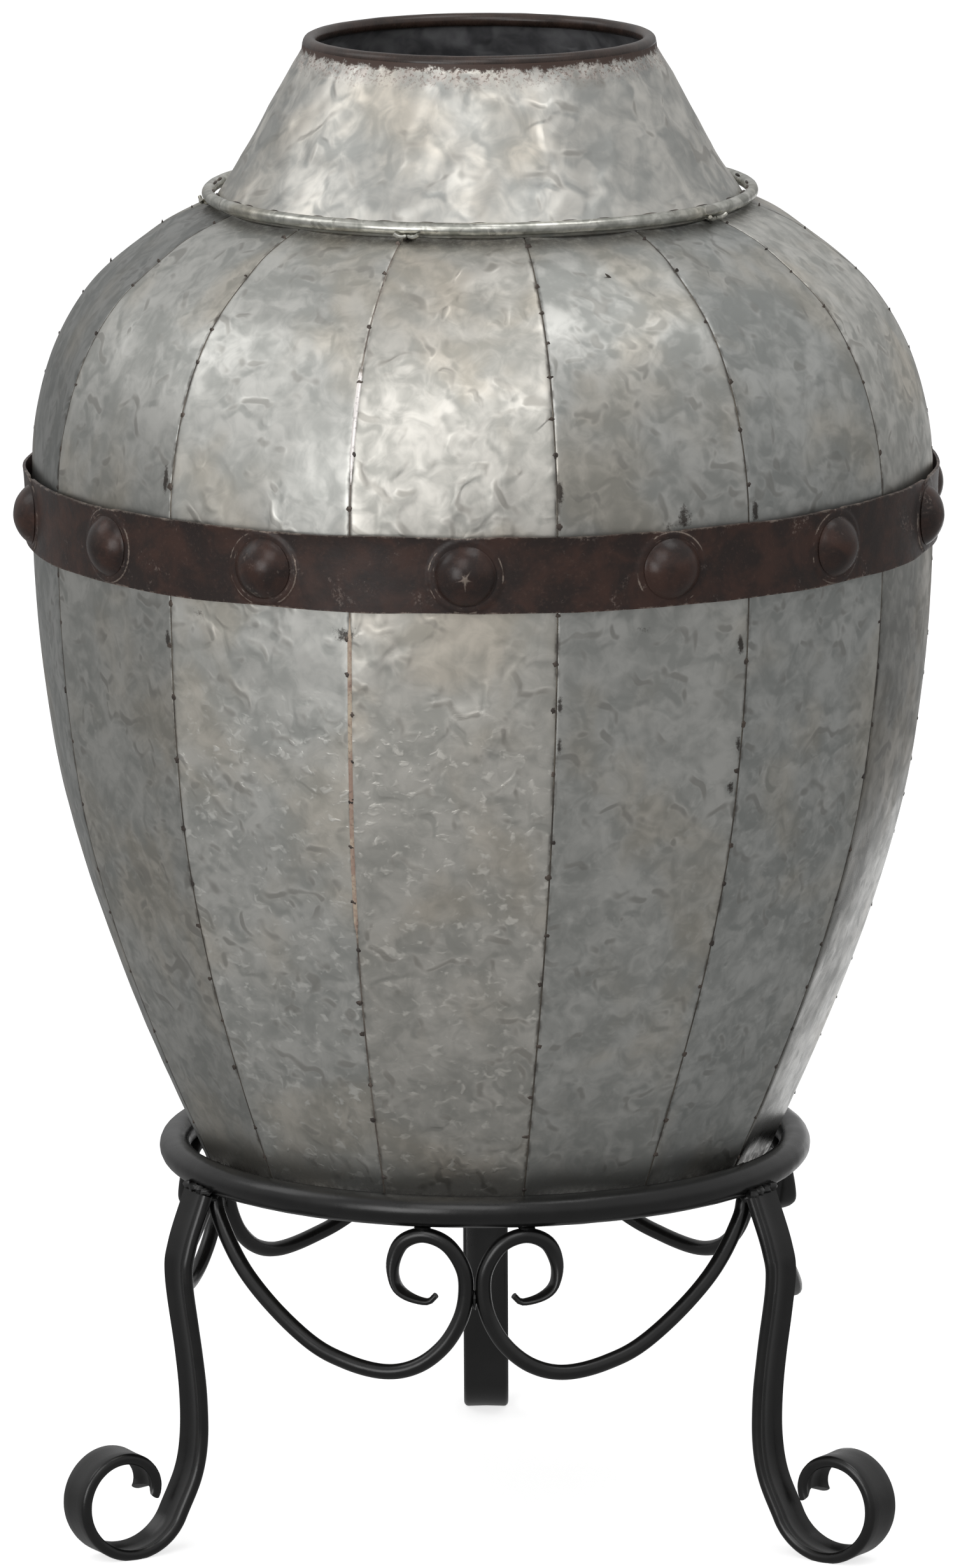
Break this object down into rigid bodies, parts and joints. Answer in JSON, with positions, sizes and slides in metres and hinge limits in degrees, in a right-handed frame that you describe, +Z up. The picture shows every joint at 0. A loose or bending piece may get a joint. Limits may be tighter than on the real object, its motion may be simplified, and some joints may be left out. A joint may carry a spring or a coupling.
{
  "type": "urn on stand",
  "caption": "Riveted sheet-steel garden urn, bent staves held by a studded band under a conical neck, standing loose in the ring of a wrought-iron stand with scrolled legs.",
  "frame": {"origin": "on the floor, under the axis of the urn and of the stand's ring", "axes": "+Z up through the urn's mouth, -Y to the front of the object between the two front legs, +X to the right seen from the front"},
  "size_m": [0.3776, 0.3838, 0.6098],
  "materials": {
    "galvanised_steel": "weathered galvanised sheet, dull silver-grey with a hammered, spangled surface and dark soldered seams",
    "dark_brown_paint": "dark brown satin paint, chipped to bare metal along edges and round the studs",
    "rim_paint": "glossy dark brown paint, speckled where it fades on to the neck",
    "black_paint": "satin black paint over forged iron"
  },
  "bodies": {
    "stand": {"stand_ring": "black_paint", "leg_front_left": "black_paint", "leg_front_right": "black_paint", "leg_rear": "black_paint", "scroll_front_1": "black_paint", "scroll_front_2": "black_paint", "scroll_left_1": "black_paint", "scroll_left_2": "black_paint", "scroll_right_1": "black_paint", "scroll_right_2": "black_paint", "seat_tab_1": "black_paint", "seat_tab_2": "black_paint", "seat_tab_3": "black_paint"},
    "urn": {"stave_01": "galvanised_steel", "stave_02": "galvanised_steel", "stave_03": "galvanised_steel", "stave_04": "galvanised_steel", "stave_05": "galvanised_steel", "stave_06": "galvanised_steel", "stave_07": "galvanised_steel", "stave_08": "galvanised_steel", "stave_09": "galvanised_steel", "stave_10": "galvanised_steel", "stave_11": "galvanised_steel", "stave_12": "galvanised_steel", "stave_13": "galvanised_steel", "stave_14": "galvanised_steel", "stud_01": "dark_brown_paint", "stud_02": "dark_brown_paint", "stud_03": "dark_brown_paint", "stud_04": "dark_brown_paint", "stud_05": "dark_brown_paint", "stud_06": "dark_brown_paint", "stud_07": "dark_brown_paint", "stud_08": "dark_brown_paint", "stud_09": "dark_brown_paint", "stud_10": "dark_brown_paint", "stud_11": "dark_brown_paint", "stud_12": "dark_brown_paint", "stud_13": "dark_brown_paint", "stud_14": "dark_brown_paint", "belly_band": "dark_brown_paint", "base_plate": "galvanised_steel", "neck_cone": "galvanised_steel", "rim_tube": "rim_paint", "neck_ring": "galvanised_steel", "neck_clip_1": "galvanised_steel", "neck_clip_2": "galvanised_steel", "neck_clip_3": "galvanised_steel", "neck_clip_4": "galvanised_steel", "neck_clip_5": "galvanised_steel"}
  },
  "joints": [
    {"name": "urn_lift", "type": "slide", "parent": "stand", "child": "urn", "axis": [0, 0, 1], "range_m": [0, 0.15]}
  ]
}
